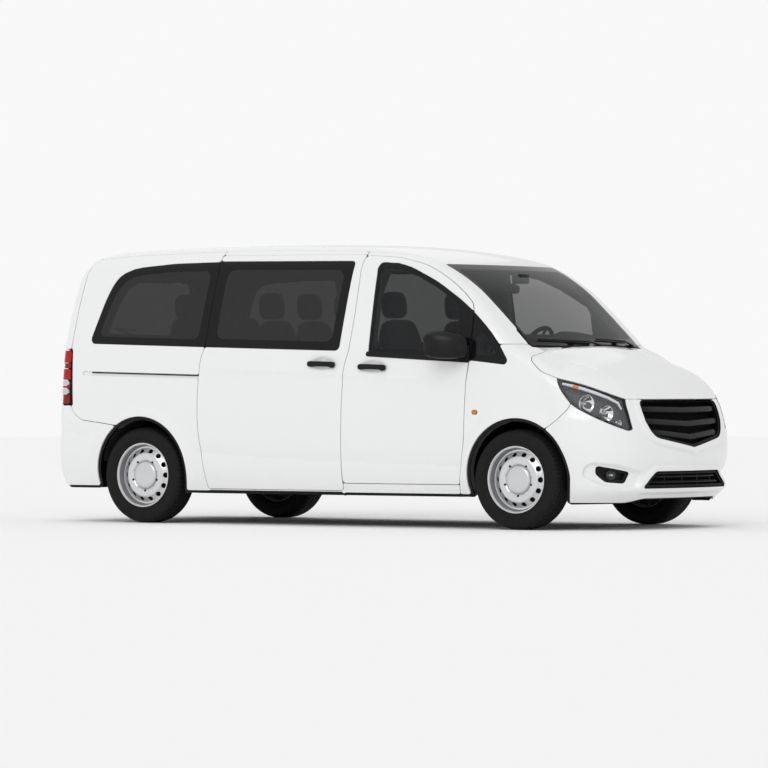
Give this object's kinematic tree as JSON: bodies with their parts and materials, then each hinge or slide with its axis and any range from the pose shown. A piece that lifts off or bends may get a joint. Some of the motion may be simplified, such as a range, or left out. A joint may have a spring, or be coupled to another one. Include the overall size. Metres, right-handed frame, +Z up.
{
  "type": "minibus",
  "caption": "Compact passenger van body with a short sloping nose, windowed sides, hinged front doors, lifting tail door and steerable steel wheels.",
  "frame": {"origin": "on the ground, at the middle of the overall length and width", "axes": "+X forward, +Y to the vehicle's left, +Z up"},
  "size_m": [4.9226, 2.244, 1.9808],
  "materials": {
    "body_paint": "gloss",
    "black_plastic": "satin",
    "trim_plastic": "grained",
    "lamp_clear": "clear over chrome",
    "lamp_red": "gloss",
    "clear_glass": "clear",
    "privacy_glass": "dark tint",
    "seat_fabric": "woven",
    "floor_metal": "underseal",
    "cast_metal": "cast",
    "dark_steel": "satin black",
    "silver_steel": "silver lacquer",
    "tyre_rubber": "rubber"
  },
  "bodies": {
    "root": {"roof": "body_paint", "front_bumper": "body_paint", "rear_bumper": "body_paint", "side_frame_right": "body_paint", "front_fender_right": "body_paint", "sliding_door_right": "body_paint", "side_frame_left": "body_paint", "front_fender_left": "body_paint", "sliding_door_left": "body_paint", "cowl": "black_plastic", "grilles": "black_plastic", "wipers": "black_plastic", "dashboard": "trim_plastic", "front_lamps": "lamp_clear", "tail_lamps": "lamp_red", "windscreen": "clear_glass", "side_glass": "privacy_glass", "front_seats": "seat_fabric", "rear_seats": "seat_fabric", "floor": "floor_metal", "engine": "cast_metal", "front_subframe": "dark_steel", "rear_axle": "dark_steel", "underbody": "dark_steel"},
    "front_door_right": {"front_door_right": "body_paint", "front_door_glass_right": "clear_glass", "mirror_right": "black_plastic"},
    "knuckle_right": {"knuckle_right": "dark_steel"},
    "wheel_front_right": {"tyre_front_right": "tyre_rubber", "rim_front_right": "silver_steel"},
    "wheel_rear_right": {"tyre_rear_right": "tyre_rubber", "rim_rear_right": "silver_steel"},
    "front_door_left": {"front_door_left": "body_paint", "front_door_glass_left": "clear_glass", "mirror_left": "black_plastic"},
    "knuckle_left": {"knuckle_left": "dark_steel"},
    "wheel_front_left": {"tyre_front_left": "tyre_rubber", "rim_front_left": "silver_steel"},
    "wheel_rear_left": {"tyre_rear_left": "tyre_rubber", "rim_rear_left": "silver_steel"},
    "bonnet": {"bonnet": "body_paint"},
    "tailgate": {"tailgate": "body_paint", "tailgate_glass": "privacy_glass"},
    "steering_wheel": {"steering_wheel": "black_plastic"}
  },
  "joints": [
    {"name": "front_door_right_hinge", "type": "hinge", "parent": "root", "child": "front_door_right", "pos_m": [1.178, -0.966, 0.75], "axis": [0, 0, 1], "range_deg": [0, 65]},
    {"name": "front_door_left_hinge", "type": "hinge", "parent": "root", "child": "front_door_left", "pos_m": [1.178, 0.966, 0.75], "axis": [0, 0, -1], "range_deg": [0, 65]},
    {"name": "steer_right", "type": "hinge", "parent": "root", "child": "knuckle_right", "pos_m": [1.5525, -0.77, 0.343], "axis": [0, 0, 1], "range_deg": [-35, 35]},
    {"name": "wheel_front_right_spin", "type": "hinge", "parent": "knuckle_right", "child": "wheel_front_right", "pos_m": [1.5525, -0.833, 0.343], "axis": [0, 1, 0], "continuous": true},
    {"name": "wheel_rear_right_spin", "type": "hinge", "parent": "root", "child": "wheel_rear_right", "pos_m": [-1.6475, -0.823, 0.343], "axis": [0, 1, 0], "continuous": true},
    {"name": "steer_left", "type": "hinge", "parent": "root", "child": "knuckle_left", "pos_m": [1.5525, 0.77, 0.343], "axis": [0, 0, 1], "range_deg": [-35, 35]},
    {"name": "wheel_front_left_spin", "type": "hinge", "parent": "knuckle_left", "child": "wheel_front_left", "pos_m": [1.5525, 0.833, 0.343], "axis": [0, 1, 0], "continuous": true},
    {"name": "wheel_rear_left_spin", "type": "hinge", "parent": "root", "child": "wheel_rear_left", "pos_m": [-1.6475, 0.823, 0.343], "axis": [0, 1, 0], "continuous": true},
    {"name": "bonnet_hinge", "type": "hinge", "parent": "root", "child": "bonnet", "pos_m": [1.6343, 0, 1.266], "axis": [0, -1, 0], "range_deg": [0, 55]},
    {"name": "tailgate_hinge", "type": "hinge", "parent": "root", "child": "tailgate", "pos_m": [-2.225, 0, 1.938], "axis": [0, 1, 0], "range_deg": [0, 85]},
    {"name": "steering_wheel_turn", "type": "hinge", "parent": "root", "child": "steering_wheel", "pos_m": [0.86, 0.4, 1.24], "axis": [-0.8829, 0, 0.4695], "range_deg": [-543.5, 543.5]}
  ],
  "couplings": [
    {"joint": "steer_right", "follows": "steer_left", "ratio": 1},
    {"joint": "steering_wheel_turn", "follows": "steer_left", "ratio": 15.5}
  ]
}
